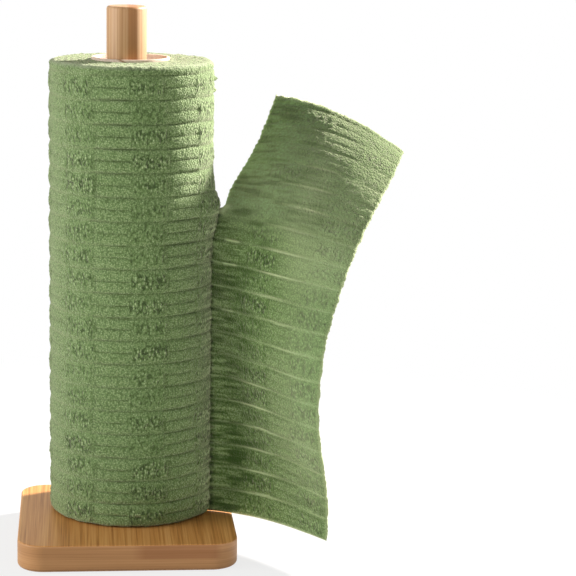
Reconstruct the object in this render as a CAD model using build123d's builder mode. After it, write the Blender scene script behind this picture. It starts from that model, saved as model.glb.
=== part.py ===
import os
from math import comb, cos, pi, radians, sin

from build123d import *

# A roll of ribbed terry cleaning cloth on its bamboo stand, with the first cloth half torn off.
# Millimetres. Origin at the centre of the plate's underside, X to the right, Y away, Z up.

# Stand
base_side = 117.5            # square plate
base_thickness = 14.8
base_corner = 14.3           # plan corner radius
base_lower_bevel = 2.0
base_upper_bevel = 0.7
post_diameter = 21.6
post_length = 279.5          # above the plate
post_top_bevel = 1.2
post_set_back = 9.2          # post behind the plate's centre

# Screw that holds the post from below
screw_diameter = 4.0
screw_head_diameter = 8.0
screw_length = 40.0
screw_tip_length = 2.5
screw_tip_diameter = 1.2
screw_head_depth = 0.6       # head sunk below the underside
screw_clearance = 0.25       # round the shank in the plate
pilot_clearance = 0.05       # round the shank in the post
drive_span = 4.4             # cross recess in the head
drive_slot = 1.0
drive_depth = 1.8

# Core tube and cloth
core_bore = 39.0
core_wall = 1.75
core_proud = 1.3             # core above the cloth
cloth_width = 250.0          # width of the cloth, so height of the roll
roll_diameter = 90.4
roll_lift = 0.4              # running gap above the plate
core_rest_gap = 1.8          # narrowest gap between post and core
lean_angle = 71.0            # direction in which the roll stands off the post
core_off_centre = 1.3        # core to the left of the roll's middle
winding_gap = 0.1            # core to cloth

# Ribs across the cloth and turns at the ends of the roll
band_pitch = 12.9
groove_half = 1.7
groove_depth = 1.1
end_round = 1.5
turn_pitch = 3.4
turn_line = 0.8
turn_depth = 0.9
turn_sides = 16
turn_margin = 1.6

# Half-torn cloth
sheet_width = 85.4
sheet_thickness = 2.8        # along the middle of a rib
sheet_groove_thickness = 1.5
sheet_gap = 0.3              # to the roll along the line of perforations
sheet_tuck = 1.0             # how much of the edge is trimmed to the roll's round
perforation_angle = -16.6    # where that line lies on the roll
tear_height = 166.3          # the cloth is still joined up to here

# The sheet hangs on four lines that run up it. Each point is a share of the sheet's width to the right of
# the perforations, a share of it away, and a share of the cloth's width up.
torn_edge = [(0.27, 0.25, 0.775), (0.43, 0.45, 0.912)]
near_line = [(0.32, -0.12, 0.0), (0.48, 0.04, 0.27), (0.0, -0.49, 0.473), (0.21, -0.29, 0.79)]
near_line += [(0.68, 0.25, 0.91)]
far_line = [(0.51, -0.42, 0.0), (0.55, -0.43, 0.25), (-0.03, -0.78, 0.473), (0.72, -0.48, 0.79)]
far_line += [(0.99, 0.14, 0.868)]
free_edge = [(0.69, -0.70, 0.0), (0.64, -0.73, 0.23), (0.40, -0.98, 0.513), (1.03, -0.54, 0.729)]
free_edge += [(1.23, 0.14, 0.797)]

# Places worked out from the sizes above
post_radius = post_diameter / 2
post_place = (0, post_set_back)
core_radius = core_bore / 2 + core_wall
roll_radius = roll_diameter / 2
lean = core_bore / 2 - post_radius - core_rest_gap
core_x = lean * cos(radians(lean_angle))
core_y = post_set_back + lean * sin(radians(lean_angle))
roll_x = core_x + core_off_centre
roll_y = core_y
roll_bottom = base_thickness + roll_lift
roll_top = roll_bottom + cloth_width
groove_count = int((cloth_width - groove_half - end_round) / band_pitch)
grooves = [band_pitch * (i + 1) for i in range(groove_count)]
crests = [(lower + upper) / 2 for lower, upper in zip([0] + grooves, grooves)]
torn_from = tear_height / cloth_width


with BuildPart() as base_plate:
    with BuildSketch():
        RectangleRounded(base_side, base_side, base_corner)
    extrude(amount=base_thickness)
    chamfer(base_plate.faces().sort_by(Axis.Z)[0].edges(), base_lower_bevel)
    chamfer(base_plate.faces().sort_by(Axis.Z)[-1].edges(), base_upper_bevel)
    with Locations(Plane(origin=(*post_place, screw_head_depth), z_dir=(0, 0, -1))):
        CounterSinkHole(
            radius=screw_diameter / 2 + screw_clearance,
            counter_sink_radius=screw_head_diameter / 2 + screw_clearance,
            counter_sink_angle=90,
        )
base_plate.part.label = "base_plate"


with BuildPart() as upright_post:
    with BuildSketch(Plane.XY.offset(base_thickness)):
        with Locations(post_place):
            Circle(post_radius)
    extrude(amount=post_length)
    chamfer(upright_post.faces().sort_by(Axis.Z)[-1].edges(), post_top_bevel)
    with Locations(Plane(origin=(*post_place, base_thickness), z_dir=(0, 0, -1))):
        Hole(
            radius=screw_diameter / 2 + pilot_clearance,
            depth=screw_length + screw_head_depth - base_thickness + screw_diameter,
        )
upright_post.part.label = "upright_post"


with BuildPart() as fixing_screw:
    head_cone = (screw_head_diameter - screw_diameter) / 2
    shank_top = screw_head_depth + screw_length - screw_tip_length
    with BuildSketch(Plane.XZ.offset(-post_set_back)):
        with BuildLine():
            Polyline(
                (0, screw_head_depth),
                (screw_head_diameter / 2, screw_head_depth),
                (screw_diameter / 2, screw_head_depth + head_cone),
                (screw_diameter / 2, shank_top),
                (screw_tip_diameter / 2, shank_top + screw_tip_length),
                (0, shank_top + screw_tip_length),
                close=True,
            )
        make_face()
    revolve(axis=Axis((*post_place, 0), (0, 0, 1)))
    with BuildSketch(Plane.XY.offset(screw_head_depth)):
        with Locations(post_place):
            Rectangle(drive_span, drive_slot)
            Rectangle(drive_slot, drive_span)
    extrude(amount=drive_depth, mode=Mode.SUBTRACT)
fixing_screw.part.label = "fixing_screw"


with BuildPart() as core_tube:
    with BuildSketch(Plane.XY.offset(roll_bottom)):
        with Locations((core_x, core_y)):
            Circle(core_radius)
            Circle(core_bore / 2, mode=Mode.SUBTRACT)
    extrude(amount=cloth_width + core_proud)
core_tube.part.label = "core_tube"


def turn_band(from_radius, to_radius):
    """Corners of a narrow band that winds outwards as the cloth's turns do, from round the core."""
    turns = (to_radius - from_radius) / turn_pitch
    steps = int(turns * turn_sides)
    inner, outer = [], []
    for i in range(steps + 1):
        share = i / steps
        angle = 2 * pi * turns * share
        middle = core_x + core_off_centre * share
        radius = from_radius + (to_radius - from_radius) * share
        for side, r in ((inner, radius - turn_line / 2), (outer, radius + turn_line / 2)):
            side.append((middle + r * cos(angle), roll_y + r * sin(angle)))
    return inner + outer[::-1]


with BuildPart() as cloth_roll:
    with BuildSketch(Plane(origin=(roll_x, roll_y, roll_bottom), x_dir=(1, 0, 0), z_dir=(0, -1, 0))):
        with BuildLine():
            ribs = [(roll_radius - end_round, 0), (roll_radius, end_round)]
            for height in grooves:
                ribs.append((roll_radius, height - groove_half))
                ribs.append((roll_radius - groove_depth, height))
                ribs.append((roll_radius, height + groove_half))
            ribs += [(roll_radius, cloth_width - end_round), (roll_radius - end_round, cloth_width)]
            Polyline((0, 0), *ribs, (0, cloth_width), close=True)
        make_face()
    revolve(axis=Axis((roll_x, roll_y, 0), (0, 0, 1)))
    with BuildSketch(Plane.XY.offset(roll_bottom)):
        with Locations((core_x, core_y)):
            Circle(core_radius + winding_gap)
    extrude(amount=cloth_width, mode=Mode.SUBTRACT)
    turn_corners = turn_band(core_radius + turn_margin, roll_radius - end_round - turn_margin)
    with BuildSketch(Plane.XY.offset(roll_top - turn_depth)):
        with BuildLine():
            Polyline(*turn_corners, close=True)
        make_face()
    extrude(amount=turn_depth, mode=Mode.SUBTRACT)
cloth_roll.part.label = "cloth_roll"


def bezier(points, share):
    """The point at a share of the way along the Bezier curve on these points."""
    n = len(points) - 1
    weights = [comb(n, k) * share**k * (1 - share) ** (n - k) for k in range(n + 1)]
    return sum((p * w for p, w in zip(points, weights)), Vector(0, 0, 0))


join_radius = roll_radius + sheet_gap - sheet_tuck
join = Vector(
    roll_x + join_radius * cos(radians(perforation_angle)),
    roll_y + join_radius * sin(radians(perforation_angle)),
    roll_bottom,
)


def placed(shares):
    return [join + Vector(a * sheet_width, b * sheet_width, c * cloth_width) for a, b, c in shares]


def sheet_lines(up):
    """Where the joined or torn edge and the three lines to its right are, at a share of the cloth's width."""
    if up < torn_from:
        edge = join + Vector(0, 0, up * cloth_width)
    else:
        tear = join + Vector(0, 0, tear_height)
        edge = bezier([tear] + placed(torn_edge), (up - torn_from) / (1 - torn_from))
    return [edge] + [bezier(placed(line), up) for line in (near_line, far_line, free_edge)]


def sheet_point(across, up):
    return bezier(sheet_lines(up), across)


def sheet_normal(across, up):
    step = 0.01
    across_way = sheet_point(min(across + step, 1), up) - sheet_point(max(across - step, 0), up)
    up_way = sheet_point(across, min(up + step, 1)) - sheet_point(across, max(up - step, 0))
    return across_way.cross(up_way).normalized()


def sheet_section(height, thickness):
    """The closed outline of the cloth at one height along it, flat at its lower and upper edges."""
    up = height / cloth_width
    middle = sheet_lines(up)
    out = [sheet_normal(i / 3, up) * (thickness / 2) for i in range(4)]
    front = [p + n for p, n in zip(middle, out)]
    back = [p - n for p, n in zip(middle, out)]
    if up in (0, 1):
        chord = front[-1] - front[0]
        flat = Plane(origin=sheet_point(0.5, up), z_dir=chord.cross(sheet_normal(0.5, up)))
        front = [p - flat.z_dir * (p - flat.origin).dot(flat.z_dir) for p in front]
        back = [p - flat.z_dir * (p - flat.origin).dot(flat.z_dir) for p in back]
    return Wire(
        [
            Edge.make_bezier(*front),
            Edge.make_line(front[-1], back[-1]),
            Edge.make_bezier(*back[::-1]),
            Edge.make_line(back[0], front[0]),
        ]
    )


with BuildPart() as loose_sheet:
    sections = [sheet_section(0, sheet_groove_thickness)]
    for crest, groove in zip(crests, grooves):
        sections.append(sheet_section(crest, sheet_thickness))
        sections.append(sheet_section(groove, sheet_groove_thickness))
    sections.append(sheet_section(cloth_width, sheet_thickness))
    add(Solid.make_loft(sections, ruled=True))
    with BuildSketch(Plane.XY.offset(roll_bottom - roll_lift)):
        with Locations((roll_x, roll_y)):
            Circle(roll_radius + sheet_gap)
    extrude(amount=roll_lift + cloth_width, mode=Mode.SUBTRACT)
loose_sheet.part.label = "loose_sheet"


os.makedirs("parts", exist_ok=True)
export_step(base_plate.part, "parts/base_plate.step")
export_step(upright_post.part, "parts/upright_post.step")
export_step(fixing_screw.part, "parts/fixing_screw.step")
export_step(core_tube.part, "parts/core_tube.step")
export_step(cloth_roll.part, "parts/cloth_roll.step")
export_step(loose_sheet.part, "parts/loose_sheet.step")
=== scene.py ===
import math

import bmesh
import bpy
import numpy as np
from mathutils import Matrix, Vector


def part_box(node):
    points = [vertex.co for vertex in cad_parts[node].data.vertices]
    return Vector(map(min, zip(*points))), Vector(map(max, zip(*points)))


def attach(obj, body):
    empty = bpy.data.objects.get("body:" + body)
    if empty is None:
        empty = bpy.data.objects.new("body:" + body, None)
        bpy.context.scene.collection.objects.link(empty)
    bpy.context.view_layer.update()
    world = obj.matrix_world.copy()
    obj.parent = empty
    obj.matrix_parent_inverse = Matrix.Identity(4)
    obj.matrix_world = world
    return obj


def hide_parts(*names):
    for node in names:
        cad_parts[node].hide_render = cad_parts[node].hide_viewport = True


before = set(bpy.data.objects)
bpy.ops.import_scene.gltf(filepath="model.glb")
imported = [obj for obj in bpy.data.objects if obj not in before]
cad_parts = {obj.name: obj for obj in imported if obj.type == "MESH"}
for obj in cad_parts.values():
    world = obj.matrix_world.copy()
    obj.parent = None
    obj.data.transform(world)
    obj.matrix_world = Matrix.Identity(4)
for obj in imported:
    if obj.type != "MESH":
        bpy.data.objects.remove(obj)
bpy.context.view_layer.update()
scene = bpy.context.scene
mm = 0.001
print("stage 1: frame loaded")


# Small helpers for colour, nodes and meshes
def srgb(code):
    channels = [int(code[i:i + 2], 16) / 255 for i in (1, 3, 5)]
    linear = [c / 12.92 if c <= 0.04045 else ((c + 0.055) / 1.055) ** 2.4 for c in channels]
    return (*linear, 1.0)


def addNode(tree, kind, inputs=None, stops=(), **settings):
    node = tree.nodes.new("ShaderNode" + kind)
    for name, value in settings.items():
        setattr(node, name, value)
    for socket, value in (inputs or {}).items():
        if isinstance(value, bpy.types.NodeSocket):
            tree.links.new(value, node.inputs[socket])
        else:
            node.inputs[socket].default_value = value
    for i, (position, code) in enumerate(stops):
        element = node.color_ramp.elements[i] if i < 2 else node.color_ramp.elements.new(position)
        element.position = position
        element.color = srgb(code)
    return node


def newMaterial(name):
    material = bpy.data.materials.new(name)
    material.use_nodes = True
    material.node_tree.nodes.clear()
    return material, material.node_tree


def newPiece(name, bm, material, smooth=True):
    mesh = bpy.data.meshes.new(name)
    bm.to_mesh(mesh)
    bm.free()
    mesh.materials.append(material)
    if smooth:
        mesh.shade_smooth()
    else:
        mesh.shade_flat()
    piece = bpy.data.objects.new(name, mesh)
    scene.collection.objects.link(piece)
    return piece


def spun(section, x, y, steps, closed):  # a mesh turned round an upright axis, from points (radius, height)
    bm = bmesh.new()
    line = [bm.verts.new(((x + r) * mm, y * mm, z * mm)) for r, z in section]
    ends = line[1:] + line[:1] if closed else line[1:]
    edges = [bm.edges.new(pair) for pair in zip(line, ends)]
    bmesh.ops.spin(
        bm, geom=line + edges, cent=Vector((x, y, 0)) * mm, axis=(0, 0, 1), angle=2 * math.pi,
        steps=steps, use_merge=True)
    bmesh.ops.remove_doubles(bm, verts=bm.verts, dist=1e-6)
    bmesh.ops.recalc_face_normals(bm, faces=bm.faces)
    return bm


def readPoints(bm):
    return np.array([v.co for v in bm.verts], float)


def movePoints(bm, points):
    for vertex, point in zip(bm.verts, points * mm):
        vertex.co = point


def writeLayers(bm, layers):  # values from 0 to 1 at each point, which the materials read by name
    keys = {name: bm.verts.layers.float.new(name) for name in layers}
    for name, key in keys.items():
        for vertex, value in zip(bm.verts, np.clip(layers[name], 0, 1)):
            vertex[key] = value


def unit(ways):
    return ways / np.linalg.norm(ways, axis=1)[:, None]


def columns(*values):
    return np.column_stack(values)


# Smooth random heights and simple profiles, for moving points
latticeSize = 8192
latticeKeys = (73856093, 19349663, 83492791, 2654435)  # they mix a place and a seed into one number
lattice = np.random.RandomState(11).uniform(-1, 1, latticeSize)


def drawn(key):
    return lattice[key % latticeSize]


def lumps(points, size, seed=0):  # smooth random heights from -1 to 1, in lumps of about this size
    place = points / size + 500.5
    cell = np.floor(place).astype(np.int64)
    part = place - cell
    part = part * part * (3 - 2 * part)
    total = np.zeros(len(points))
    keyX, keyY, keyZ, keySeed = latticeKeys
    for corner in range(8):
        step = np.array([corner & 1, corner >> 1 & 1, corner >> 2 & 1])
        at = cell + step
        key = at[:, 0] * keyX ^ at[:, 1] * keyY ^ at[:, 2] * keyZ ^ (seed + 1) * keySeed
        total += drawn(key) * np.prod(np.where(step, part, 1 - part), axis=1)
    return total


def uneven(points, pairs, seed):  # lumps of several sizes, each with its height, and a seed more for each
    return sum(height * lumps(points, size, seed + i) for i, (height, size) in enumerate(pairs))


def ridge(distance, width):  # 1 on a line, fading to 0 over its width
    return np.exp(-(distance / width) ** 2)


def ramp(value, low, high):  # smooth step from 0 to 1
    t = np.clip((value - low) / (high - low), 0, 1)
    return t * t * (3 - 2 * t)


# Sizes read from the frame, in millimetres
rollLow, rollHigh = (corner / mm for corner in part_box("cloth_roll"))
coreLow, coreHigh = (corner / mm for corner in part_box("core_tube"))
postLow, postHigh = (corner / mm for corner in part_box("upright_post"))
plateLow, plateHigh = (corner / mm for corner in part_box("base_plate"))
rollRadius = (rollHigh.x - rollLow.x) / 2
rollX, rollY = (rollLow.x + rollHigh.x) / 2, (rollLow.y + rollHigh.y) / 2
rollBottom, clothWidth = rollLow.z, rollHigh.z - rollLow.z
coreRadius = (coreHigh.x - coreLow.x) / 2
coreX, coreY = (coreLow.x + coreHigh.x) / 2, (coreLow.y + coreHigh.y) / 2
postX, postY = (postLow.x + postHigh.x) / 2, (postLow.y + postHigh.y) / 2


# Camera at the photograph's angle
camera = {
    "place": (-25.04, -1181.75, 373.3),  # mm
    "yaw": 0.0956,  # radians, as the next two
    "pitch": 0.1925,
    "roll": 0.0162,
    "lens": 137.95,
    "sensor": 36,
}


def makeCamera():
    yaw, pitch, roll = camera["yaw"], camera["pitch"], camera["roll"]
    forward = Vector((math.sin(yaw) * math.cos(pitch), math.cos(yaw) * math.cos(pitch), -math.sin(pitch)))
    right = Vector((math.cos(yaw), -math.sin(yaw), 0))
    up = right.cross(forward)
    across = math.cos(roll) * right + math.sin(roll) * up
    upward = -math.sin(roll) * right + math.cos(roll) * up
    data = bpy.data.cameras.new("photoCamera")
    data.lens = camera["lens"]
    data.sensor_width = camera["sensor"]
    data.clip_start, data.clip_end = 0.05, 50
    item = bpy.data.objects.new("photoCamera", data)
    turn = Matrix((across, upward, -forward)).transposed()
    item.matrix_world = Matrix.Translation(Vector(camera["place"]) * mm) @ turn.to_4x4()
    scene.collection.objects.link(item)
    scene.camera = item


makeCamera()
print("stage 2: camera placed")


# Terry: cotton loops in ribs 12.9 mm apart, with blocks of long loops along the middle of each rib
terry = {
    "ribPitch": 12.9,
    "ribDepth": 1.3,  # line between two ribs
    "ribLine": 0.52,
    "dashDepth": 0.9,  # line along the middle of a rib
    "dashLine": 0.46,
    "pillow": 0.34,
    "patternPitch": 40.6,  # one block and one dash along the cloth
    "blockHeight": 8.8,
    "blockEdge": 1.1,
    "blockShift": 1.6,  # how far a rib's blocks stand out of step
    "blockRise": 0.3,
    "blockPile": 0.52,  # how far the long loops stand up and down
    "plainPile": 0.17,
    "barDepth": 0.5,  # pressed lines at the ends of a block
    "barLine": 0.55,
    "barInset": 0.8,
    "perforationPitch": 4.4,
    # What is uneven: height and size of its lumps
    "lineWaver": ((0.45, 22), (0.2, 7)),
    "endWaver": ((0.9, 3.2),),
    "wideWaver": ((1.5, 6.5),),
    "fineWaver": ((0.8, 2.6),),
    "lineFade": ((0.28, 16),),
    "barFade": ((0.5, 5),),
    "loops": ((1, 1.7), (0.5, 0.95)),
    "strayBlocks": (0.45, 9),
}


def terryShape(along, up, points, seed, firm=1):
    t = terry
    pitch, pattern = t["ribPitch"], t["patternPitch"]

    # The ribs, and the lines between them, which wander a little
    height = up + uneven(points, t["lineWaver"], seed)
    line = np.clip(np.round(height / pitch), 1, int(clothWidth / pitch))
    toLine = np.abs(height - line * pitch)
    rib = np.floor(np.clip(height, 0, clothWidth - 0.1) / pitch)
    toMiddle = np.abs(height - (rib + 0.5) * pitch)
    rib = rib.astype(int)

    # Blocks and dashes take turns along a rib
    shift = t["blockShift"] * drawn(rib * 37 + seed * 11)
    shift = shift + uneven(points, t["endWaver"], seed + 2)
    repeat = np.floor((along + shift) / pattern)
    share = (along + shift) / pattern - repeat  # 0 to 0.5 is a block, 0.5 to 1 a dash
    edge = t["blockEdge"] / pattern
    inBlock = ramp(share, 0, edge) * (1 - ramp(share, 0.5 - edge, 0.5))
    inDash = ramp(share, 0.5, 0.5 + edge / 2) * (1 - ramp(share, 1 - edge / 2, 1))
    strength = 0.78 + 0.22 * drawn(rib * 53 + repeat.astype(int) * 17 + seed * 5)
    half = t["blockHeight"] / 2 + uneven(points, t["wideWaver"], seed + 7)
    half = half + uneven(points, t["fineWaver"], seed + 3)
    block = inBlock * (1 - ramp(toMiddle - half, -1.8, 1.0)) * strength
    amount, size = t["strayBlocks"]
    block = np.maximum(block, amount * ramp(lumps(points, size, seed + 8), 0.2, 0.6) * (1 - inDash))
    toEnd = np.minimum(share, np.abs(share - 0.5)) * pattern
    bars = ridge(toEnd - t["barInset"], t["barLine"]) * (toMiddle < half)
    bars = bars * (0.5 + uneven(points, t["barFade"], seed + 9)) * strength

    # Lines, soft pillows between them, and the loops
    fade = 0.72 + uneven(points, t["lineFade"], seed + 4)
    lines = ridge(toLine, t["ribLine"]) * (1 - 0.4 * inBlock) * fade * firm
    dash = ridge(toMiddle, t["dashLine"]) * inDash * fade * firm
    pillow = -t["pillow"] * (1 - np.clip(toLine / (pitch / 2), 0, 1)) ** 2 * (1 - 0.3 * inBlock)
    pillow = (pillow - 0.3 * t["pillow"] * ridge(toMiddle, 2.2) * inDash) * firm
    tall = t["plainPile"] + (t["blockPile"] - t["plainPile"]) * block
    loops = uneven(points, t["loops"], seed + 5) * tall
    out = pillow - t["ribDepth"] * lines - t["dashDepth"] * dash + loops
    out = out + t["blockRise"] * block - t["barDepth"] * bars
    return {
        "out": out, "block": block, "line": lines, "dash": dash, "bars": bars,
        "inBlock": inBlock, "toLine": toLine}


def perforations(height):
    return 0.5 + 0.5 * np.cos(2 * math.pi * height / terry["perforationPitch"])


# The look of the pile, sizes in millimetres
pile = {
    "loop": 0.9,  # between short loops
    "longLoop": 1.2,
    "lean": 0.62,  # long loops lie up the cloth
    "yarn": 0.5,
    "gap": 1.5,  # between bundles of long loops
    "fold": (26, 2.1),  # length and pitch of the small folds by the tear line
    "wash": 16,  # clouds of paler and darker dye
    "relief": 0.9,
    "sheen": 0.42,
    "sheenTint": "#fdf3dc",
    "litStreakTone": "#e9f0bd",
    "holeTone": "#28351a",
    "throughTone": "#c2dbc4",
}


def terryMaterial(name, tones, lineAndShadeTone, paleEdgeAndLightTone, single):
    material, tree = newMaterial(name)
    place = addNode(tree, "TexCoord").outputs["Object"]
    names = ("block", "line", "pale", "hole", "streak", "fold", "glow")
    layer = {n: addNode(tree, "Attribute", attribute_name=n).outputs["Fac"] for n in names}

    # Loops: round cells with yarn on them, short ones and, in the blocks, long ones with gaps
    short = addNode(tree, "TexVoronoi", {"Vector": place, "Scale": 1 / (pile["loop"] * mm)})
    leaning = addNode(tree, "Mapping", {"Vector": place, "Scale": (1.0, 1.0, pile["lean"])}).outputs[0]
    long = addNode(tree, "TexVoronoi", {"Vector": leaning, "Scale": 1 / (pile["longLoop"] * mm)})
    yarn = addNode(tree, "TexNoise", {"Vector": place, "Scale": 1 / (pile["yarn"] * mm), "Detail": 2.0})
    gaps = addNode(tree, "TexNoise", {"Vector": leaning, "Scale": 1 / (pile["gap"] * mm), "Detail": 1.0})
    apart = {0: layer["block"], 2: short.outputs["Distance"], 3: long.outputs["Distance"]}
    apart = addNode(tree, "Mix", apart).outputs[0]
    crown = addNode(tree, "Math", {0: 1.0, 1: apart}, operation="SUBTRACT").outputs[0]
    height = {0: yarn.outputs[0], 1: 0.6, 2: crown}
    height = addNode(tree, "Math", height, operation="MULTIPLY_ADD").outputs[0]
    pit = addNode(tree, "MapRange", {0: gaps.outputs[0], 1: 0.55, 2: 0.65}).outputs[0]
    pit = addNode(tree, "Math", {0: pit, 1: layer["block"]}, operation="MULTIPLY").outputs[0]
    height = addNode(tree, "Math", {0: pit, 1: -0.55, 2: height}, operation="MULTIPLY_ADD").outputs[0]

    # Small folds that run away from the tear line, with painted shade in their hollows
    foldLength, foldPitch = pile["fold"]
    stretch = (1 / (foldLength * mm), 1 / (foldLength * mm), 1 / (foldPitch * mm))
    flatWay = addNode(tree, "Mapping", {"Vector": place, "Scale": stretch}).outputs[0]
    folds = addNode(tree, "TexNoise", {"Vector": flatWay, "Scale": 1.0, "Detail": 1.0})
    folded = addNode(tree, "MapRange", {0: folds.outputs[0], 1: 0.36, 2: 0.62}).outputs[0]
    lift = addNode(tree, "Math", {0: folded, 1: layer["fold"]}, operation="MULTIPLY").outputs[0]
    height = addNode(tree, "Math", {0: lift, 1: 1.4, 2: height}, operation="MULTIPLY_ADD").outputs[0]
    foldShade = addNode(tree, "Math", {0: 1.0, 1: folded}, operation="SUBTRACT").outputs[0]
    foldShade = addNode(tree, "Math", {0: foldShade, 1: layer["fold"]}, operation="MULTIPLY").outputs[0]

    # Dark pits as painted shade and pale tips as painted highlight, over clouds of dye, then the lines and
    # edges
    level = addNode(tree, "MapRange", {0: height, 1: 0.4, 2: 1.25}).outputs[0]
    stops = [(0.1, tones[0]), (0.95, tones[3]), (0.42, tones[1]), (0.68, tones[2])]
    speckle = addNode(tree, "ValToRGB", {0: level}, stops=stops)
    wash = addNode(tree, "TexNoise", {"Vector": place, "Scale": 1 / (pile["wash"] * mm), "Detail": 2.0})
    plain = {0: wash.outputs[0], 6: srgb(tones[1]), 7: srgb(tones[2])}
    plain = addNode(tree, "Mix", plain, data_type="RGBA")
    share = addNode(tree, "MapRange", {0: layer["block"], 3: 0.62, 4: 1.0}).outputs[0]
    cloth = addNode(tree, "Mix", {0: share, 6: plain.outputs[2], 7: speckle.outputs[0]}, data_type="RGBA")
    tints = [(layer["line"], lineAndShadeTone), (foldShade, lineAndShadeTone), (layer["streak"], pile["litStreakTone"])]
    for amount, tone in tints + [(layer["pale"], paleEdgeAndLightTone), (layer["hole"], pile["holeTone"])]:
        cloth = addNode(tree, "Mix", {0: amount, 6: cloth.outputs[2], 7: srgb(tone)}, data_type="RGBA")

    depth = addNode(tree, "MapRange", {0: layer["block"], 3: 0.68, 4: 1.0}).outputs[0]
    bump = addNode(tree, "Bump", {"Strength": depth, "Distance": pile["relief"] * mm, "Height": height})
    fabric = addNode(tree, "BsdfPrincipled", {
        "Base Color": cloth.outputs[2], "Roughness": 0.95, "Specular IOR Level": 0.2,
        "Sheen Weight": pile["sheen"], "Sheen Roughness": 0.5, "Sheen Tint": srgb(pile["sheenTint"]),
        "Normal": bump.outputs[0]})
    surface = fabric.outputs[0]
    if single:  # one layer lets light through, more at the loops than at the pits and dark lines
        paling = addNode(tree, "MapRange", {0: layer["line"], 3: 0.5, 4: 0.05}).outputs[0]
        through = {0: paling, 6: cloth.outputs[2], 7: srgb(pile["throughTone"])}
        through = addNode(tree, "Mix", through, data_type="RGBA").outputs[2]
        glow = addNode(tree, "BsdfTranslucent", {"Color": through, "Normal": bump.outputs[0]})
        loose = addNode(tree, "MapRange", {0: height, 1: 0.5, 2: 1.25, 3: 0.35, 4: 1.5}).outputs[0]
        lit = {0: layer["glow"], 1: loose}
        lit = addNode(tree, "Math", lit, operation="MULTIPLY", use_clamp=True).outputs[0]
        surface = addNode(tree, "MixShader", {0: lit, 1: surface, 2: glow.outputs[0]}).outputs[0]
    addNode(tree, "OutputMaterial", {"Surface": surface})
    return material


# Pits as painted shade, two mid greens as dyed cotton shows them, loop tips as painted highlight, then the
# lines, partly painted shade, and a pale tone for the roll's top and the loose cloth's edges and painted
# light
rollTerry = terryMaterial(
    "Cotton terry, looped and wound", ("#3a5027", "#657f4a", "#7d9562", "#bacb98"),
    "#34461f", "#c6d2ac", False)
sheetTerry = terryMaterial(
    "Cotton terry, looped, one layer against the light", ("#2f481a", "#567339", "#789457", "#b6cd92"),
    "#345217", "#d0dcaa", True)


# The wound roll
roll = {
    "around": 350,
    "rimTop": 3.6,  # roundness of the cloth's own edges
    "rimBottom": 3.0,
    "rimAngles": (82, 62, 40, 20),  # degrees
    "rowsInHalfRib": (0, 0.6, 1.7, 3.2, 4.75, 5.85),  # close together by the lines
    "rowsBelow": 7,
    "rowsAbove": 30,
    "windingGap": 0.1,  # to the core
    "turnPitch": 3.4,
    "turnDepth": 0.35,
    "turnLine": 0.8,
    "endFluff": ((0.35, 1.8), (0.35, 4.5)),  # height and size of its lumps
    "perforationAngle": -16.6,  # degrees
    "patternAngle": -93,  # a block starts 3 degrees left of the front
    "tearHeight": 0.684,  # share of the cloth's width that is still joined
    "creaseDepth": 1.0,
    "creaseLine": 0.9,
    "layerStep": 1.3,
    "layerFade": 45,
    "pull": 4.2,  # how far the tear pulls the roll outwards
    "pullReach": (16, 11, 13),  # along the cloth, above the tear and below it
    "pleatDepth": 0.5,
    "pleatPitch": 1.9,
    "pleatReach": 9,
    "flatAndLitAngle": -150,  # where the ribs lie flatter and their lines are painted pale as lit, degrees
    "flatAndLitWidth": 32,
    # Loops pulled out: place along the cloth, height, length
    "snags": ((9.0, 240.0, 2.4), (9.6, 233.5, 1.9)),
}
tearAt = roll["tearHeight"] * clothWidth
joinAngle = math.radians(roll["perforationAngle"])


def pullAt(away, up):  # the bulge round the tear, by distance along the cloth and height
    along, above, below = roll["pullReach"]
    reach = np.where(up > tearAt, above, below)
    return roll["pull"] * np.exp(-(away / along) ** 2) * np.exp(-((up - tearAt) / reach) ** 2)


def pleatsAt(away, up):  # small folds that fan out from the line of perforations
    depth, reach = roll["pleatDepth"], roll["pleatReach"]
    fan = up + 0.5 * np.abs(away) * lumps(columns(0 * up, 0 * up, up), 9, 41)
    wave = np.sin(2 * math.pi * fan / (terry["ribPitch"] / 4))
    fold = lumps(columns(0 * up, 0 * up, fan), roll["pleatPitch"], 42) + 0.5 * wave
    return depth * fold * np.exp(-np.abs(away) / reach)


def rimRows(rim, base, sign, width):
    share = rim / width
    rows = []
    for a in np.radians(roll["rimAngles"]):
        height = base - sign * rim * (1 - math.sin(a))
        rows.append((1 - share * (1 - math.cos(a)), height, math.cos(a), sign * math.sin(a)))
    return rows


# Rows of the closed section: share of the way out, height, outward and upward parts of its normal
def rollRows(inner):
    width = rollRadius - inner
    halfRib = terry["ribPitch"] / 2
    halves = [i * halfRib for i in range(int(clothWidth / halfRib) + 1)]
    heights = [half + offset for half in halves for offset in roll["rowsInHalfRib"]]
    lowest, highest = roll["rimBottom"] + 0.2, clothWidth - roll["rimTop"] - 0.2
    rows = [(share, 0.0, 0, -1) for share in np.linspace(0, 0.8, roll["rowsBelow"])]
    rows += rimRows(roll["rimBottom"], 0, -1, width)
    rows += [(1.0, h, 1, 0) for h in heights if lowest < h < highest]
    rows += rimRows(roll["rimTop"], clothWidth, 1, width)[::-1]
    rows += [(share, clothWidth, 0, 1) for share in np.linspace(0.83, 0.0, roll["rowsAbove"])]
    rows.append((0.0, clothWidth / 2, -1, 0))
    return np.array(rows)


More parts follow.
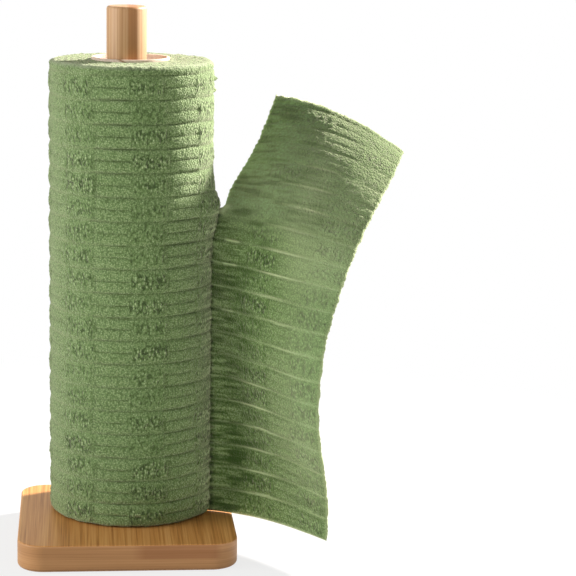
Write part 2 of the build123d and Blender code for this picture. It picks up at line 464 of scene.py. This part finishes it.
def makeRoll():
    inner = coreRadius + roll["windingGap"]
    rows = rollRows(inner)
    bm = bmesh.new()
    bmesh.ops.create_grid(bm, x_segments=roll["around"], y_segments=len(rows), size=0.5)
    flat = readPoints(bm) + 0.5

    # Where each point lies on the section and round it
    angle = joinAngle + 2 * math.pi * flat[:, 0]
    share, height, outward, upward = rows[np.round(flat[:, 1] * len(rows)).astype(int) % len(rows)].T
    radius = inner + (rollRadius - inner) * share
    middleX, middleY = coreX + (rollX - coreX) * share, coreY + (rollY - coreY) * share
    outX, outY = np.cos(angle), np.sin(angle)
    base = columns(middleX + radius * outX, middleY + radius * outY, rollBottom + height)
    along = rollRadius * (angle - math.radians(roll["patternAngle"]))
    away = rollRadius * ((angle - joinAngle + math.pi) % (2 * math.pi) - math.pi)
    seenRound = columns(rollRadius * outX, rollRadius * outY, height)
    side = ramp(outward, 0.1, 0.9)
    top = ramp(upward, 0.3, 0.95)

    # Terry with a whole number of blocks, which meets at the line of perforations
    patternsRound = 2 * math.pi * rollRadius / terry["patternPitch"]
    repeats = round(patternsRound) / patternsRound
    fromFlatAndLit = (np.degrees(angle) - roll["flatAndLitAngle"] + 180) % 360 - 180
    flatAndLit = ridge(fromFlatAndLit, roll["flatAndLitWidth"])
    shape = terryShape(along * repeats, height, seenRound, 3, 1 - 0.55 * flatAndLit)

    # The turns at the two ends
    turns = (radius - inner) / roll["turnPitch"] - angle / (2 * math.pi)
    toTurn = np.abs(turns - np.round(turns)) * roll["turnPitch"]
    spiral = -roll["turnDepth"] * ridge(toTurn, roll["turnLine"])
    fluff = uneven(base, roll["endFluff"], 21)
    end = (spiral + fluff) * (np.abs(upward) > 0.3) * np.clip((radius - inner) / 1.5, 0, 1)

    # The line of perforations, the layer behind it and the folds and bulge that the pull makes
    joined = 1 - ramp(height, tearAt - 1, tearAt + 1)
    dots = perforations(height)
    crease = ridge(away, roll["creaseLine"]) * (0.35 + 0.65 * dots) * side * joined
    behind = ramp(away, 0.2, 0.9) * np.exp(-np.clip(away, 0, None) / roll["layerFade"])
    pleats = pleatsAt(away, height) * side * joined
    out = shape["out"] * side + end * (1 - side) + pleats
    out = out - roll["creaseDepth"] * crease - roll["layerStep"] * behind * side
    out += pullAt(away, height) * side * (away <= 0.2)
    for place, level, length in roll["snags"]:
        out += length * ridge(np.hypot(away - place, height - level), 0.9) * side
    out[(outward < -0.5) | (share < 0.01)] = 0  # the bore stays round
    tilt = columns(outward * outX, outward * outY, upward)
    movePoints(bm, base + tilt * out[:, None])

    # Dark lines in the grooves and between the turns, partly painted shade
    ribLines = np.maximum(np.maximum(shape["line"], 0.9 * shape["dash"]), 0.8 * shape["bars"])
    writeLayers(bm, {
        "block": np.maximum(shape["block"] * side, 0.4 * top),
        "line": ribLines * side + 0.5 * top * ridge(toTurn, 0.6),
        # Painted highlight: paler lines where the ribs lie flatter
        "streak": 0.35 * shape["line"] * flatAndLit * side,
        "pale": top * (0.05 + 0.4 * ramp(share, 0.75, 1.0)) * (0.8 + 0.4 * lumps(base, 5, 24)),
        "hole": ridge(away + 1.5, 0.9) * (0.3 + 0.7 * dots ** 2) * side * joined,
        "fold": roll["pleatDepth"] * np.exp(-np.abs(away) / roll["pleatReach"]) * side * joined,
    })
    bmesh.ops.remove_doubles(bm, verts=bm.verts, dist=1e-6)
    bmesh.ops.recalc_face_normals(bm, faces=bm.faces)
    print("roll:", len(bm.verts), "points,", len(bm.faces) * 2, "triangles")
    piece = newPiece("wound_cloth", bm, rollTerry)
    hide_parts("cloth_roll")
    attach(piece, "roll")


makeRoll()
print("stage 3: roll wound")


# The loose cloth hangs on four lines that run up it, as in the part's source: shares of its width to
# the right of the perforations, of its width away, and of the cloth's width up
sheet = {
    "width": 85.4,
    "thickness": 2.6,
    "relief": 0.65,  # share of the terry's relief that each face has
    "edgeRound": 1.3,
    "columns": 118,
    "rows": 330,
    "gap": 0.3,
    "tuck": 1.0,
    "patternStart": 18.5,
    "waves": ((1.1, 34), (0.5, 13)),  # height and size
    "pleats": 1.1,
    "teeth": 0.35,  # stubs between the perforations
    "knobs": 0.2,  # the ends of the ribs
    "ragged": ((0.5, 1.3),),
    "frayed": ((0.9, 2.2), (0.7, 1.1)),
    "sunk": 0.9,  # its joined edge lies in the roll's pile
    "drawnRight": (2.1, 0.4, 2.3),  # over the middle, everywhere, and low down
    "through": 0.36,  # share of the light that a single layer lets through
    # Where light comes through the lines between ribs, from the lowest: share of the width, strength
    "glows": (
        (0.39, 1.0), (0.38, 0.8), (0.37, 0.7), (0.43, 1.0), (0.38, 1.0), (0.38, 0.55), (0.75, 0.35),
        (0.72, 0.5), (0.62, 0.6), (0.5, 0.8), (0.56, 1.0), (0.55, 1.0), (0.55, 0.6), (0.58, 1.0),
        (0.55, 0.8), (0.56, 0.5), (0.5, 0.1), (0.5, 0.1), (0.5, 0.1)),
    # Painted light: short bright strokes by the perforations
    "sparks": ((12, 1.0), (11, 0.9), (9, 0.55)),  # lines with a short bright stroke by the perforations
    "tearEdge": ((0.27, 0.25, 0.775), (0.43, 0.45, 0.912)),
    "nearLine": (
        (0.32, -0.12, 0.0), (0.48, 0.04, 0.27), (0.0, -0.49, 0.473),
        (0.21, -0.29, 0.79), (0.68, 0.25, 0.91)),
    "farLine": (
        (0.51, -0.42, 0.0), (0.55, -0.43, 0.25), (-0.03, -0.78, 0.473),
        (0.72, -0.48, 0.79), (0.99, 0.14, 0.868)),
    "freeEdge": (
        (0.69, -0.70, 0.0), (0.64, -0.73, 0.23), (0.40, -0.98, 0.513),
        (1.03, -0.54, 0.729), (1.23, 0.14, 0.797)),
}
joinRadius = rollRadius + sheet["gap"] - sheet["tuck"]
joinX = rollX + joinRadius * math.cos(joinAngle)
joinY = rollY + joinRadius * math.sin(joinAngle)
joinPoint = np.array([joinX, joinY, rollBottom])


def bezier(points, share):
    n = len(points) - 1
    weights = [math.comb(n, k) * (share ** k * (1 - share) ** (n - k))[:, None] for k in range(n + 1)]
    return sum(weight * point for weight, point in zip(weights, points))


def placed(shares):
    width = sheet["width"]
    return [joinPoint + np.array([a * width, b * width, c * clothWidth]) for a, b, c in shares]


def sheetPoint(across, up):
    tear = roll["tearHeight"]
    straight = joinPoint + np.outer(np.minimum(up, tear), (0, 0, clothWidth))
    tearPoint = joinPoint + np.array([0, 0, tear * clothWidth])
    free = bezier([tearPoint] + placed(sheet["tearEdge"]), np.clip((up - tear) / (1 - tear), 0, 1))
    edge = np.where((up < tear)[:, None], straight, free)
    lines = [bezier(placed(sheet[name]), up) for name in ("nearLine", "farLine", "freeEdge")]
    return bezier([edge] + lines, across)


# Painted light: pale streaks in the colour where light comes through, which also let more of it through
def lightThrough(across, along, height, toLine):  # bright streaks in the lines between two ribs
    up = height / clothWidth
    line = np.round(height / terry["ribPitch"]).astype(int)
    place, strength = np.array(sheet["glows"])[np.clip(line, 1, len(sheet["glows"])) - 1].T
    bright = strength * ridge(across - place, 0.13) + 0.2 * ridge(across - 0.92, 0.1)
    faint = 0.12 * (1 - ramp(up, 0.6, 0.72) * (1 - 0.5 * ramp(along, 30, 60)))
    spark = sum(strong * (line == number) for number, strong in sheet["sparks"])
    spark = spark * (1 - ramp(np.abs(across - 0.15), 0.035, 0.065))
    streak = ridge(toLine, 0.42) * (faint + 0.9 * bright)
    return np.clip(streak + 0.85 * ridge(toLine, 0.5) * spark, 0, 1)


# Strokes of flattened pile over the upper half; by the tear line and at the foot their dark tone also
# paints shade
def flattened(along, height, block):  # strokes of flattened pile along the ribs
    up = height / clothWidth
    upper = ramp(up, 0.6, 0.74)
    upperRight = ramp(along, 40, 65) * ramp(up, 0.72, 0.84)
    wide = lumps(columns(along / 6, 0 * along, height), 1.7, 44)
    fine = lumps(columns(along / 9, 0 * along, height), 0.9, 45)
    byTearLine = 1 - ramp(along, 24, 58)
    byFoot = 0.7 - 0.7 * ramp(up, 0.08, 0.28)
    where = np.maximum.reduce([upper * (1 - 0.6 * upperRight), byTearLine, byFoot])
    strokes = np.clip(0.85 * ramp(wide, -0.05, 0.45) + 0.5 * ramp(fine, 0.1, 0.6) * upper, 0, 1)
    return strokes * where * (1 - 0.6 * block)


def sheetLayers(across, along, height, shape, joined):
    up = height / clothWidth
    streak = lightThrough(across, along, height, shape["toLine"])
    brushedAndShade = flattened(along, height, shape["block"])
    # Painted shade in the fold's valley, left of the middle
    valleyShade = 0.28 * np.exp(-((along - 24) / 13) ** 2) * ramp(up, 0.0, 0.1) * (1 - ramp(up, 0.5, 0.6))
    shadow = 0.5 * ridge(shape["toLine"] - 1.3, 0.7) * (1 - shape["inBlock"])
    lines = np.maximum.reduce([shadow, 0.6 * shape["dash"], 0.8 * shape["bars"], brushedAndShade])

    # Paler pile at the edges, and painted light right of the fold, over the upper half, low on the right
    # and above the tear
    border = ridge(np.minimum(clothWidth - height, np.where(joined, 99, along)), 1.5)
    freeSides = ridge(np.minimum(sheet["width"] - along, height), 1.0)
    atNotch = np.exp(-((along - 2) / 3) ** 2 - ((height - tearAt) / 2.5) ** 2)
    paintedLight = ramp(along, 40, 74) * ramp(up, 0, 0.2)
    paintedLight = paintedLight + 1.9 * ramp(up, 0.6, 0.74) * (1 - ramp(along, 46, 66)) * (1 - 0.3 * ramp(up, 0.9, 0.97))
    paintedLight += 1.1 * ramp(along, 34, 60) * ramp(up, 0.5, 0.62) * (1 - ramp(up, 0.78, 0.9))
    paintedLight += np.exp(-((along - 12) / 14) ** 2 - ((height - 190) / 16) ** 2)
    pale = np.maximum.reduce([0.8 * border, 0.35 * freeSides, 0.8 * atNotch])

    # Where the layer is thin enough for the light
    lower = 0.1 + (0.48 + 0.42 * ramp(up, 0.08, 0.35)) * ramp(along, 42, 84)
    thin = (lower + (1.3 - lower) * ramp(height, tearAt - 14, tearAt + 10)) * sheet["through"]
    return {
        "block": np.maximum(shape["block"], 0.6 * ramp(up, 0.62, 0.74)),
        "line": lines + valleyShade,
        "streak": streak,
        # Pale edges, and painted light
        "pale": pale + 0.16 * paintedLight * (1 - 0.6 * brushedAndShade),
        "hole": ridge(along - 1.8, 1.2) * (0.3 + 0.7 * perforations(height) ** 2) * joined,
        "fold": 0.5 * np.exp(-along / 15) * ramp(tearAt - height, 0, 25),
        "glow": (thin + (0.9 - thin) * streak) * (1 - 0.9 * brushedAndShade),
    }


def makeSheet():
    bm = bmesh.new()
    bmesh.ops.create_grid(bm, x_segments=sheet["columns"], y_segments=sheet["rows"], size=0.5)
    bmesh.ops.solidify(bm, geom=bm.faces[:], thickness=0.2)
    flat = readPoints(bm)

    # Where each point lies in the cloth, and which ways run across it, up it and out of it
    side = np.where(flat[:, 2] > flat[:, 2].mean(), 1.0, -1.0)
    across, up = np.clip(flat[:, 0] + 0.5, 0, 1), np.clip(flat[:, 1] + 0.5, 0, 1)
    step = 0.004
    acrossWay = sheetPoint(np.minimum(across + step, 1), up) - sheetPoint(np.maximum(across - step, 0), up)
    upWay = sheetPoint(across, np.minimum(up + step, 1)) - sheetPoint(across, np.maximum(up - step, 0))
    normal = unit(np.cross(acrossWay, upWay))
    along, height = across * sheet["width"], up * clothWidth
    seen = columns(along, 40 * side, height)
    joined = height < tearAt
    shape = terryShape(along + sheet["patternStart"], height, seen, 9)

    # Ribs and loops on both faces, thinner at the edges and smoother towards the upper right
    width = sheet["width"]
    fromEdge = np.minimum(np.minimum(along, width - along), np.minimum(height, clothWidth - height))
    rounded = np.sqrt(np.clip(fromEdge / sheet["edgeRound"], 0.05, 1))
    smoother = 1 - 0.45 * ramp(along, 40, 65) * ramp(up, 0.72, 0.84)
    out = (sheet["thickness"] / 2 + sheet["relief"] * shape["out"] * smoother) * rounded

    # Waves of the whole cloth and pleats by the tear line
    free = ramp(along, 2, 24)
    (deep, long), (slight, short) = sheet["waves"]
    waves = deep * lumps(columns(along, 0 * along, height + 0.35 * along), long, 31) * free
    waves += slight * lumps(columns(along, 0 * along, height), short, 32) * free
    pleats = sheet["pleats"] * pleatsAt(along * 0.6, height)
    points = sheetPoint(across, up) + normal * (side * out + waves + pleats)[:, None]

    # Ragged edges: stubs and knobs at the sides, fraying at the top
    teeth = sheet["teeth"] * np.abs(((height / terry["perforationPitch"]) % 1) - 0.5) * 2
    knobs = sheet["knobs"] * np.cos(2 * math.pi * (height / terry["ribPitch"] - 0.5))
    ragged = teeth + uneven(seen, sheet["ragged"], 33)
    nearRight = ridge(width - along, 1.2)
    torn = ridge(along, 1.2) * (height > tearAt)
    outwards = (ragged - 0.6 * teeth + knobs - 0.6) * nearRight - (ragged - 0.5 * teeth) * 0.8 * torn
    points += unit(acrossWay) * outwards[:, None]
    frayed = uneven(seen, sheet["frayed"], 35)
    points += unit(upWay) * (frayed * ridge(clothWidth - height, 1.4))[:, None]

    # The pull at the tear, and the cloth drawn a little to the right
    pull = pullAt(along * 0.7, height) - sheet["sunk"] * ridge(along, 2.5) * joined
    points += np.array([math.cos(joinAngle), math.sin(joinAngle), 0]) * pull[:, None]
    middle, everywhere, low = sheet["drawnRight"]
    byEdge = np.where(joined, ramp(along, 0, 30), 1)
    points[:, 0] += middle * ramp(up, 0.3, 0.62) * (1 - 0.5 * ramp(up, 0.85, 1.0)) * byEdge
    points[:, 0] += (everywhere + low * ridge(up - 0.12, 0.1)) * ramp(along, 20, 85)
    movePoints(bm, points)

    writeLayers(bm, sheetLayers(across, along, height, shape, joined))
    bmesh.ops.recalc_face_normals(bm, faces=bm.faces)
    print("sheet:", len(bm.verts), "points,", len(bm.faces) * 2, "triangles")
    piece = newPiece("half_torn_cloth", bm, sheetTerry)
    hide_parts("loose_sheet")
    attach(piece, "roll")


makeSheet()
print("stage 4: loose cloth hung")


# Core of wound paperboard
core = {
    "bore": 39.0,
    "edgeRound": 0.35,
    "segments": 120,
    "seamPitch": 62.0,  # the seam climbs this far in one turn
    "seamLine": 0.014,  # share of that pitch
    "fibre": 0.9,
    "tones": ("#bfa892", "#dacabc"),
    "seamTone": "#8a6344",
}


def coreMaterial():
    # Soft brown with fibres and one seam
    material, tree = newMaterial("Paperboard, spiral wound and uncoated")
    place = addNode(tree, "TexCoord").outputs["Object"]
    centred = addNode(tree, "Mapping", {"Vector": place, "Location": (-coreX * mm, -coreY * mm, 0)})
    x, y, z = addNode(tree, "SeparateXYZ", {0: centred.outputs[0]}).outputs
    turn = addNode(tree, "Math", {0: y, 1: x}, operation="ARCTAN2").outputs[0]
    turned = addNode(tree, "Math", {0: turn, 1: 2 * math.pi}, operation="DIVIDE").outputs[0]
    climb = {0: z, 1: 1 / (core["seamPitch"] * mm), 2: turned}
    climb = addNode(tree, "Math", climb, operation="MULTIPLY_ADD").outputs[0]
    seam = addNode(tree, "Math", {0: climb, 1: 1.0}, operation="PINGPONG").outputs[0]
    line = addNode(tree, "MapRange", {0: seam, 1: 0.0, 2: core["seamLine"], 3: 1.0, 4: 0.0}).outputs[0]
    fibres = addNode(tree, "TexNoise", {"Vector": place, "Scale": 1 / (core["fibre"] * mm), "Detail": 4.0})
    dark, pale = core["tones"]
    board = addNode(tree, "ValToRGB", {0: fibres.outputs[0]}, stops=[(0.3, dark), (0.75, pale)])
    colour = {0: line, 6: board.outputs[0], 7: srgb(core["seamTone"])}
    colour = addNode(tree, "Mix", colour, data_type="RGBA")
    bump = addNode(tree, "Bump", {"Strength": 0.35, "Distance": 0.15 * mm, "Height": fibres.outputs[0]})
    shader = addNode(tree, "BsdfPrincipled", {
        "Base Color": colour.outputs[2], "Roughness": 0.85, "Specular IOR Level": 0.3,
        "Normal": bump.outputs[0]})
    addNode(tree, "OutputMaterial", {"Surface": shader.outputs[0]})
    return material


def makeCore():
    low, high = coreLow.z, coreHigh.z
    bore, outside, soft = core["bore"] / 2, coreRadius, core["edgeRound"]
    bend = (0.5, 1.1)  # radians round each upper edge
    section = [(bore, low + soft), (bore + soft, low), (outside - soft, low), (outside, low + soft)]
    section += [(outside, high - soft)]
    section += [(outside - soft + soft * math.cos(a), high - soft + soft * math.sin(a)) for a in bend]
    section += [(outside - soft, high), (bore + soft, high)]
    section += [(bore + soft - soft * math.cos(a), high - soft + soft * math.sin(a)) for a in bend[::-1]]
    section += [(bore, high - soft)]
    piece = newPiece("board_core", spun(section, coreX, coreY, core["segments"], True), coreMaterial())
    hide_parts("core_tube")
    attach(piece, "roll")


makeCore()
print("stage 5: core wound")


# Stand: bamboo plate and post, and the steel screw below
stand = {
    "fibre": 1.0,
    "fibreLength": 90,
    "topStrip": 6.0,  # widths of the bamboo strips
    "sideStrip": 7.4,
    "postStrip": 4.2,
    "corner": 14.3,
    "lowerRound": 2.5,
    "upperRound": 0.9,
    "postRound": 1.6,
    "postSegments": 96,
    # Painted shade as a darker strip up the post: right of its middle, half its width, and that with its
    # soft edge
    "paintedShadeStrip": (3.0, 1.5, 3.4),
    # A redder strip on the plate's side: where it starts, where it ends, and from what height, each with
    # a soft edge; then its strength and colour
    "redStrip": ((2, 9), (46, 50), (6.4, 7.4), 0.45, "#8a5028"),
    # The screw's hole
    "headRadius": 4.25,
    "headSunk": 0.6,
    "shankRadius": 2.25,
    "shankFrom": 2.6,
    "holeTop": 14.2,  # it ends below the post
}


def bambooMaterial(name, tones, sideOrShadeTones, upright):
    material, tree = newMaterial(name)  # straight fine fibres in a satin oiled surface
    place = addNode(tree, "TexCoord").outputs["Object"]
    fine, long = 1 / (stand["fibre"] * mm), 1 / (stand["fibreLength"] * mm)
    topStrip, sideStrip, postStrip = (1 / (stand[n] * mm) for n in ("topStrip", "sideStrip", "postStrip"))
    if upright:
        grain = addNode(tree, "Mapping", {"Vector": place, "Scale": (fine, fine, long * 0.6)}).outputs[0]
        scale = (postStrip, postStrip, 1.0)
        strips = addNode(tree, "Mapping", {"Vector": place, "Scale": scale}).outputs[0]
    else:
        normal = addNode(tree, "NewGeometry").outputs["Normal"]
        facing = addNode(tree, "SeparateXYZ", {0: normal}).outputs[2]
        facing = addNode(tree, "Math", {0: facing}, operation="ABSOLUTE").outputs[0]
        flatFace = addNode(tree, "Math", {0: facing, 1: 0.6}, operation="GREATER_THAN").outputs[0]
        onSide = addNode(tree, "Mapping", {"Vector": place, "Scale": (long, long, fine)}).outputs[0]
        onTop = addNode(tree, "Mapping", {"Vector": place, "Scale": (fine, long, long)}).outputs[0]
        grain = addNode(tree, "Mix", {0: flatFace, 4: onSide, 5: onTop}, data_type="VECTOR").outputs[1]
        onSide = addNode(tree, "Mapping", {"Vector": place, "Scale": (0.5, 0.5, sideStrip)}).outputs[0]
        onTop = addNode(tree, "Mapping", {"Vector": place, "Scale": (topStrip, 0.5, 0.5)}).outputs[0]
        strips = addNode(tree, "Mix", {0: flatFace, 4: onSide, 5: onTop}, data_type="VECTOR").outputs[1]
    streaks = addNode(tree, "TexNoise", {"Vector": grain, "Scale": 1.0, "Detail": 3.0, "Roughness": 0.6})
    bands = addNode(tree, "TexNoise", {"Vector": strips, "Scale": 1.0, "Detail": 1.0})
    both = addNode(tree, "Math", {0: streaks.outputs[0], 1: 0.7}, operation="MULTIPLY").outputs[0]
    both = {0: bands.outputs[0], 1: 0.3, 2: both}
    both = addNode(tree, "Math", both, operation="MULTIPLY_ADD").outputs[0]
    wood, other = (
        addNode(tree, "ValToRGB", {0: both}, stops=[(0.3, dark), (0.68, pale), (0.47, mid)]).outputs[0]
        for dark, mid, pale in (tones, sideOrShadeTones))
    xyz = addNode(tree, "SeparateXYZ", {0: place}).outputs
    # Painted shade: the strip where neither the left light nor the lamp behind falls
    if upright:  # one darker strip runs up the post
        off, half, soft = stand["paintedShadeStrip"]
        away = addNode(tree, "Math", {0: xyz[0], 1: (postX + off) * mm}, operation="SUBTRACT").outputs[0]
        away = addNode(tree, "Math", {0: away}, operation="ABSOLUTE").outputs[0]
        share = {0: away, 1: half * mm, 2: soft * mm, 3: 1.0, 4: 0.0}
        share = addNode(tree, "MapRange", share, interpolation_type="SMOOTHSTEP").outputs[0]
    else:  # the top shows the faces of the strips, the sides their edges
        share = addNode(tree, "Math", {0: 1.0, 1: flatFace}, operation="SUBTRACT").outputs[0]
    wood = addNode(tree, "Mix", {0: share, 6: wood, 7: other}, data_type="RGBA").outputs[2]
    if not upright:  # a redder strip takes over in the upper half of the side, right of the middle
        (startFrom, startTo), (endFrom, endTo), (low, high), strength, tone = stand["redStrip"]
        patch = addNode(tree, "MapRange", {0: xyz[0], 1: startFrom * mm, 2: startTo * mm}).outputs[0]
        last = {0: xyz[0], 1: endFrom * mm, 2: endTo * mm, 3: 1.0, 4: 0.0}
        last = addNode(tree, "MapRange", last).outputs[0]
        upper = addNode(tree, "MapRange", {0: xyz[2], 1: low * mm, 2: high * mm}).outputs[0]
        for factor in (last, upper, share, strength):
            patch = addNode(tree, "Math", {0: patch, 1: factor}, operation="MULTIPLY").outputs[0]
        wood = addNode(tree, "Mix", {0: patch, 6: wood, 7: srgb(tone)}, data_type="RGBA").outputs[2]
    bump = addNode(tree, "Bump", {"Strength": 0.25, "Distance": 0.12 * mm, "Height": streaks.outputs[0]})
    shader = addNode(tree, "BsdfPrincipled", {
        "Base Color": wood, "Roughness": 0.48, "Specular IOR Level": 0.4, "Normal": bump.outputs[0]})
    addNode(tree, "OutputMaterial", {"Surface": shader.outputs[0]})
    return material


def steelMaterial():
    material, tree = newMaterial("Zinc-plated steel, cold headed")  # cool grey with faint turning marks
    place = addNode(tree, "TexCoord").outputs["Object"]
    marks = addNode(tree, "TexNoise", {"Vector": place, "Scale": 1 / (0.4 * mm), "Detail": 3.0})
    tone = addNode(tree, "ValToRGB", {0: marks.outputs[0]}, stops=[(0.3, "#a9abad"), (0.7, "#cfd1d3")])
    bump = addNode(tree, "Bump", {"Strength": 0.2, "Distance": 0.05 * mm, "Height": marks.outputs[0]})
    shader = addNode(tree, "BsdfPrincipled", {
        "Base Color": tone.outputs[0], "Metallic": 1.0, "Roughness": 0.35, "Normal": bump.outputs[0]})
    addNode(tree, "OutputMaterial", {"Surface": shader.outputs[0]})
    return material


def roundedPlate():
    size = plateHigh - plateLow
    bm = bmesh.new()
    bmesh.ops.create_cube(bm, size=1.0)
    middle = Matrix.Translation((plateLow + plateHigh) / 2 * mm)
    bmesh.ops.transform(bm, verts=bm.verts, matrix=middle @ Matrix.Diagonal(size * mm).to_4x4())
    bevel = {"affect": "EDGES", "profile": 0.5, "material": -1, "offset_type": "OFFSET"}
    upright = [e for e in bm.edges if abs(e.verts[0].co.z - e.verts[1].co.z) > mm]
    bmesh.ops.bevel(bm, geom=upright, offset=stand["corner"] * mm, segments=14, **bevel)
    rims = ((plateLow.z, stand["lowerRound"], 6), (plateHigh.z, stand["upperRound"], 4))
    for level, rounding, segments in rims:
        rim = [e for e in bm.edges if all(abs(v.co.z - level * mm) < 1e-6 for v in e.verts)]
        bmesh.ops.bevel(bm, geom=rim, offset=rounding * mm, segments=segments, **bevel)
    flats = [f for f in bm.faces if len(f.verts) > 8]
    bmesh.ops.inset_individual(bm, faces=flats, thickness=0.5 * mm)
    return bm


def cutScrewHole(bm):
    flats = (f for f in bm.faces if len(f.verts) > 8)
    under = min(flats, key=lambda f: f.calc_center_median().z)
    outer = list(under.edges)
    bmesh.ops.delete(bm, geom=[under], context="FACES_ONLY")
    head, shank = stand["headRadius"], stand["shankRadius"]
    steps = ((head, stand["headSunk"]), (shank, stand["shankFrom"]), (shank, stand["holeTop"]))
    place = Matrix.Translation(Vector((postX, postY, plateLow.z)) * mm)
    made = bmesh.ops.create_circle(bm, segments=48, radius=head * mm, matrix=place)
    loop = list({e for v in made["verts"] for e in v.link_edges})
    bmesh.ops.bridge_loops(bm, edges=outer + loop)
    for radius, height in steps:
        made = bmesh.ops.extrude_edge_only(bm, edges=loop)["geom"]
        ring = [v for v in made if isinstance(v, bmesh.types.BMVert)]
        loop = [e for e in made if isinstance(e, bmesh.types.BMEdge)]
        for v in ring:
            away = Vector((v.co.x - postX * mm, v.co.y - postY * mm, 0)).normalized() * radius * mm
            v.co = Vector((postX * mm, postY * mm, (plateLow.z + height) * mm)) + away
    bmesh.ops.contextual_create(bm, geom=loop)


def makePlate(material):
    bm = roundedPlate()
    cutScrewHole(bm)
    bmesh.ops.recalc_face_normals(bm, faces=bm.faces)
    piece = newPiece("bamboo_plate", bm, material)
    piece.data.set_sharp_from_angle(angle=math.radians(35))
    piece.modifiers.new("flatShading", "WEIGHTED_NORMAL").keep_sharp = True
    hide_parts("base_plate")
    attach(piece, "stand")


def makePost(material):
    low, high, soft = postLow.z, postHigh.z, stand["postRound"]
    radius = (postHigh.x - postLow.x) / 2
    section = [(0, low), (radius, low), (radius, low + 40), (radius, high - 30)]
    section.append((radius, high - soft))
    for a in np.radians((18, 36, 54, 72)):
        section.append((radius - soft + soft * math.cos(a), high - soft + soft * math.sin(a)))
    section += [(radius - soft, high), (radius - 2 * soft, high), (0, high)]
    piece = newPiece("bamboo_post", spun(section, postX, postY, stand["postSegments"], False), material)
    piece.data.set_sharp_from_angle(angle=math.radians(35))
    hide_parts("upright_post")
    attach(piece, "stand")


makePlate(bambooMaterial(
    "Bamboo, laminated, sanded and oiled", ("#824f20", "#b77d3f", "#d09c5f"),
    ("#a07245", "#b48353", "#c39362"), False))
# The post's second tones are the painted shade of its darker strip
makePost(bambooMaterial(
    "Bamboo, turned and oiled", ("#8f663e", "#ae855b", "#c09c74"),
    ("#84582c", "#9c6a3b", "#ab7a4a"), True))
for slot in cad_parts["fixing_screw"].material_slots:
    slot.material = steelMaterial()
print("stage 6: stand finished")


# Pale room and floor, soft light from the left and the front, and behind on the right a strong lamp
# that shines through the single layer of cloth. Each lamp: power, place, size, colour
light = {
    "room": 0.42,
    "left": (14.8, (-1.2, -0.28, 0.5), 0.8, "#ffffff"),
    "front": (2.0, (0.8, -1.4, 1.0), 1.0, "#ffffff"),
    "back": (108.0, (1.2, 0.63, 0.9), 0.16, "#fff8f6"),
    "aim": (0.02, 0.0, 0.15),
}


def seenItself(tree):  # 1 for what is seen directly, in a reflection or through something clear
    path = addNode(tree, "LightPath").outputs
    seen = {0: path["Is Camera Ray"], 1: path["Is Glossy Ray"]}
    seen = addNode(tree, "Math", seen, operation="MAXIMUM").outputs[0]
    return addNode(tree, "Math", {0: seen, 1: path["Is Transmission Ray"]}, operation="MAXIMUM").outputs[0]


def makeLights():
    world = bpy.data.worlds.new("paleRoom")
    scene.world = world
    world.use_nodes = True
    tree = world.node_tree
    tree.nodes.clear()
    room = addNode(tree, "Background", {"Color": srgb("#ffffff"), "Strength": light["room"]})
    shown = addNode(tree, "Background", {"Color": srgb("#ffffff"), "Strength": 1.0})
    mixed = addNode(tree, "MixShader", {0: seenItself(tree), 1: room.outputs[0], 2: shown.outputs[0]})
    addNode(tree, "OutputWorld", {"Surface": mixed.outputs[0]})
    for name in ("left", "front", "back"):
        power, place, size, colour = light[name]
        lamp = bpy.data.lights.new(name + "Lamp", "AREA")
        lamp.energy = power
        lamp.size = size
        lamp.color = srgb(colour)[:3]
        item = bpy.data.objects.new(name + "Lamp", lamp)
        item.location = place
        item.rotation_euler = (Vector(light["aim"]) - Vector(place)).to_track_quat("-Z", "Y").to_euler()
        scene.collection.objects.link(item)


floor = {
    "half": 9.0,  # metres
    "tones": ("#c8c8c6", "#cacac8"),
    "grain": 40.0,
    "near": (0.12, 0.78),  # distance from the object in metres, share of white
    "far": (0.45, 1.0),
}


def makeFloor():
    material, tree = newMaterial("Matt paper floor")  # even and pale, with the object's own shadow
    place = addNode(tree, "TexCoord").outputs["Object"]
    grain = addNode(tree, "TexNoise", {"Vector": place, "Scale": floor["grain"], "Detail": 2.0})
    dark, pale = floor["tones"]
    tone = addNode(tree, "ValToRGB", {0: grain.outputs[0]}, stops=[(0.3, dark), (0.7, pale)])
    shader = addNode(tree, "BsdfPrincipled", {
        "Base Color": tone.outputs[0], "Roughness": 1.0, "Specular IOR Level": 0.0})
    # Away from the object the paper is as white as the room, where it is seen itself
    white = addNode(tree, "Emission", {"Color": srgb("#ffffff"), "Strength": 1.0})
    away = addNode(tree, "VectorMath", {0: place}, operation="LENGTH").outputs["Value"]
    (near, nearShare), (far, farShare) = floor["near"], floor["far"]
    fade = {0: away, 1: near, 2: far, 3: nearShare, 4: farShare}
    fade = addNode(tree, "MapRange", fade, interpolation_type="SMOOTHSTEP").outputs[0]
    share = addNode(tree, "Math", {0: seenItself(tree), 1: fade}, operation="MULTIPLY").outputs[0]
    paper = addNode(tree, "MixShader", {0: share, 1: shader.outputs[0], 2: white.outputs[0]})
    addNode(tree, "OutputMaterial", {"Surface": paper.outputs[0]})
    bm = bmesh.new()
    bmesh.ops.create_grid(bm, x_segments=4, y_segments=4, size=floor["half"])
    newPiece("floor", bm, material, smooth=False)


makeLights()
makeFloor()
scene.view_settings.view_transform = "Standard"
print("stage 7: light and floor set")
